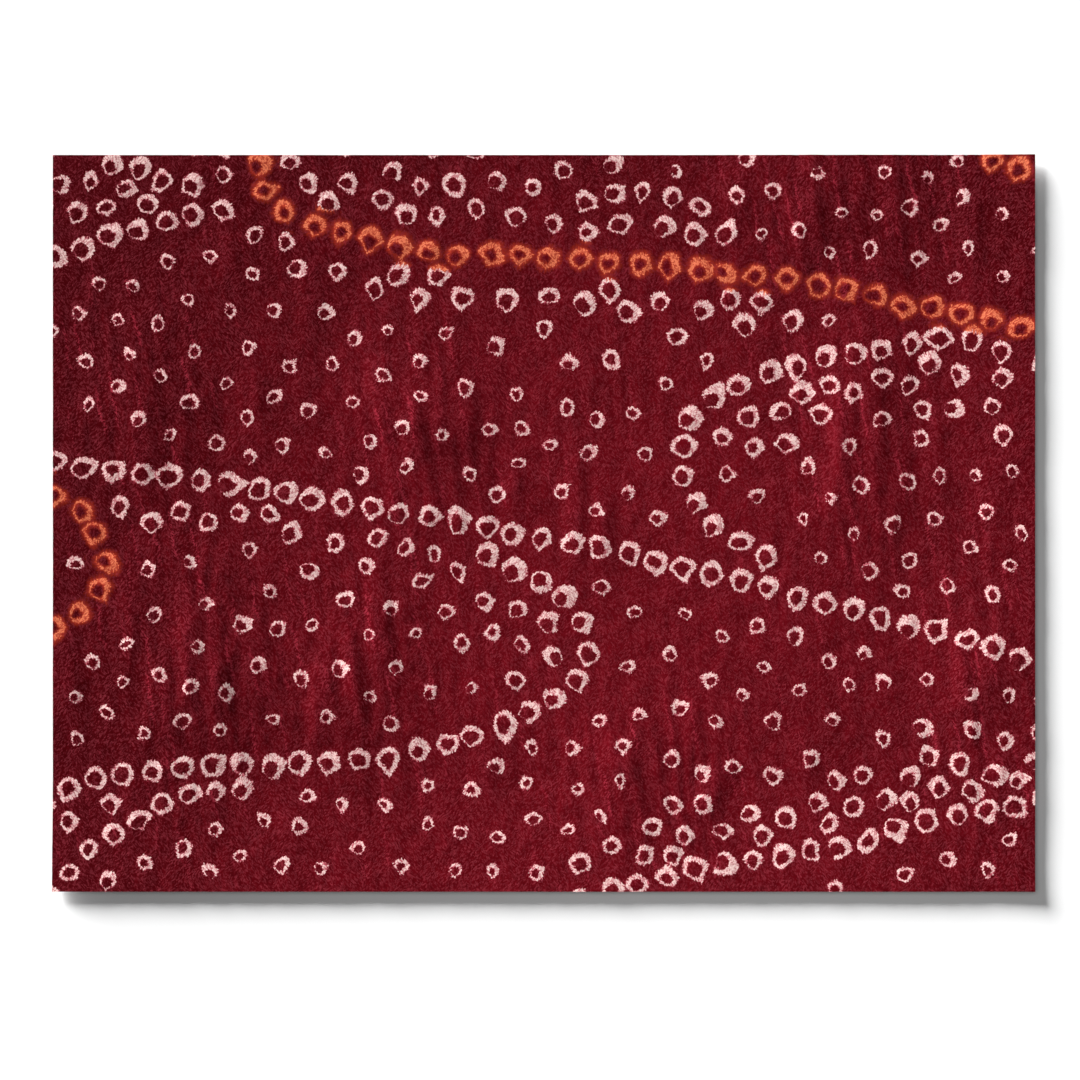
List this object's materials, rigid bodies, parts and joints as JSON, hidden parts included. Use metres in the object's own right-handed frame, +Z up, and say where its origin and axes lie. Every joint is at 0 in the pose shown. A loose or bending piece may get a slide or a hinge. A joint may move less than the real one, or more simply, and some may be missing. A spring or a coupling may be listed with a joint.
{
  "type": "shibori silk cloth",
  "caption": "Cut length of crinkled silk crepe lying flat, tie-dyed with rows and a scatter of small pale and orange rings on a deep red ground.",
  "frame": {"origin": "centre of the cloth's outline, on the surface it lies on", "axes": "+X along the long edge, to the right in the picture; +Y along the short edge, to the top of the picture; +Z up off the surface"},
  "size_m": [0.24, 0.18, 0.0028],
  "materials": {
    "silk_crepe": "matte dyed silk crepe with a faint sheen"
  },
  "bodies": {
    "root": {"cloth": "silk_crepe"}
  },
  "joints": []
}
